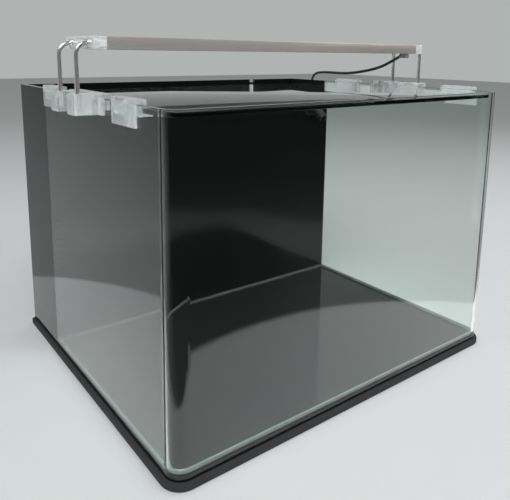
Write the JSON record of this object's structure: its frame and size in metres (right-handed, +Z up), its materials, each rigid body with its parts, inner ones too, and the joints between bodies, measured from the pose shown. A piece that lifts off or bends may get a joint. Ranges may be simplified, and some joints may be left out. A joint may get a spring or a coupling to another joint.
{
  "type": "aquarium",
  "caption": "Rimless bent-glass aquarium with a black rear filter chamber, clear lid and a lamp on wire legs, standing on a thin mat.",
  "frame": {"origin": "middle of the mat underside", "axes": "+X along the front to the right, -Y towards the viewer at the front, +Z up"},
  "size_m": [0.5546, 0.5082, 0.4195],
  "materials": {
    "clear_glass": "polished",
    "lid_glass": "polished",
    "black_glass": "polished",
    "black_acrylic": "gloss",
    "clear_acrylic": "polished, flame-bright edges",
    "dark_screw": "moulded",
    "satin_aluminium": "satin anodised",
    "steel_wire": "polished stainless",
    "diffuser": "frosted",
    "circuit_board": "solder mask",
    "led_chip": "moulded",
    "gland_grey": "moulded",
    "cord_black": "satin jacket",
    "mat_foam": "closed-cell foam",
    "silicone": "cured",
    "sponge": "open foam",
    "ceramic": "fired",
    "suction_rubber": "moulded",
    "pump_plastic": "moulded",
    "impeller_plastic": "moulded"
  },
  "bodies": {
    "root": {"back_pane": "black_glass", "bent_glass_wall": "clear_glass", "bottom_pane": "clear_glass", "intake_grille": "black_acrylic", "lamp_bracket_left": "clear_acrylic", "lamp_bracket_right": "clear_acrylic", "lamp_cord": "cord_black", "lamp_cord_coil": "cord_black", "lamp_cord_tail": "cord_black", "lamp_plug": "cord_black", "left_chamber_liner": "black_acrylic", "leveling_mat": "mat_foam", "lid_clip_left_front": "clear_acrylic", "lid_clip_left_rear": "clear_acrylic", "lid_clip_right_front": "clear_acrylic", "lid_clip_right_rear": "clear_acrylic", "over_flow_divider": "black_acrylic", "overflow_comb": "black_acrylic", "partition": "black_acrylic", "pump_body": "pump_plastic", "pump_cover": "pump_plastic", "pump_suction_cups": "suction_rubber", "right_chamber_liner": "black_acrylic", "riser_pipe": "pump_plastic", "silicone_bead": "silicone", "under_flow_divider": "black_acrylic"},
    "lid": {"lid": "lid_glass"},
    "lamp": {"lamp_housing": "satin_aluminium", "diffuser": "diffuser", "led_board": "circuit_board", "leds": "led_chip", "end_cap_left": "clear_acrylic", "end_cap_right": "clear_acrylic", "leg_collars": "steel_wire", "cord_gland": "gland_grey", "wire_leg_left_front": "steel_wire", "wire_leg_left_rear": "steel_wire", "wire_leg_right_front": "steel_wire", "wire_leg_right_rear": "steel_wire"},
    "screw_left": {"bracket_screw_left": "dark_screw"},
    "screw_right": {"bracket_screw_right": "dark_screw"},
    "rotor": {"impeller": "impeller_plastic"},
    "nozzle": {"return_nozzle": "pump_plastic"},
    "sponge": {"filter_sponge": "sponge"},
    "basket": {"media_basket": "pump_plastic", "ceramic_rings": "ceramic"}
  },
  "joints": [
    {"name": "lamp_lift", "type": "slide", "parent": "root", "child": "lamp", "axis": [0, 0, 1], "range_m": [0, 0.05]},
    {"name": "lid_tilt", "type": "hinge", "parent": "root", "child": "lid", "pos_m": [0, 0.117, 0.35], "axis": [-1, 0, 0], "range_deg": [0, 10]},
    {"name": "screw_left_turn", "type": "hinge", "parent": "root", "child": "screw_left", "pos_m": [-0.2536, 0.0021, 0.3523], "axis": [1, 0, 0], "continuous": true},
    {"name": "screw_right_turn", "type": "hinge", "parent": "root", "child": "screw_right", "pos_m": [0.2536, 0.0021, 0.3523], "axis": [1, 0, 0], "continuous": true},
    {"name": "impeller_spin", "type": "hinge", "parent": "root", "child": "rotor", "pos_m": [0.202, 0.15, 0.043], "axis": [0, 1, 0], "continuous": true},
    {"name": "nozzle_swivel", "type": "hinge", "parent": "root", "child": "nozzle", "pos_m": [0.202, 0.112, 0.311], "axis": [0, 1, 0], "range_deg": [-60, 60]},
    {"name": "sponge_lift", "type": "slide", "parent": "root", "child": "sponge", "axis": [0, 0, 1], "range_m": [0, 0.2]},
    {"name": "basket_lift", "type": "slide", "parent": "root", "child": "basket", "axis": [0, 0, 1], "range_m": [0, 0.2]}
  ]
}
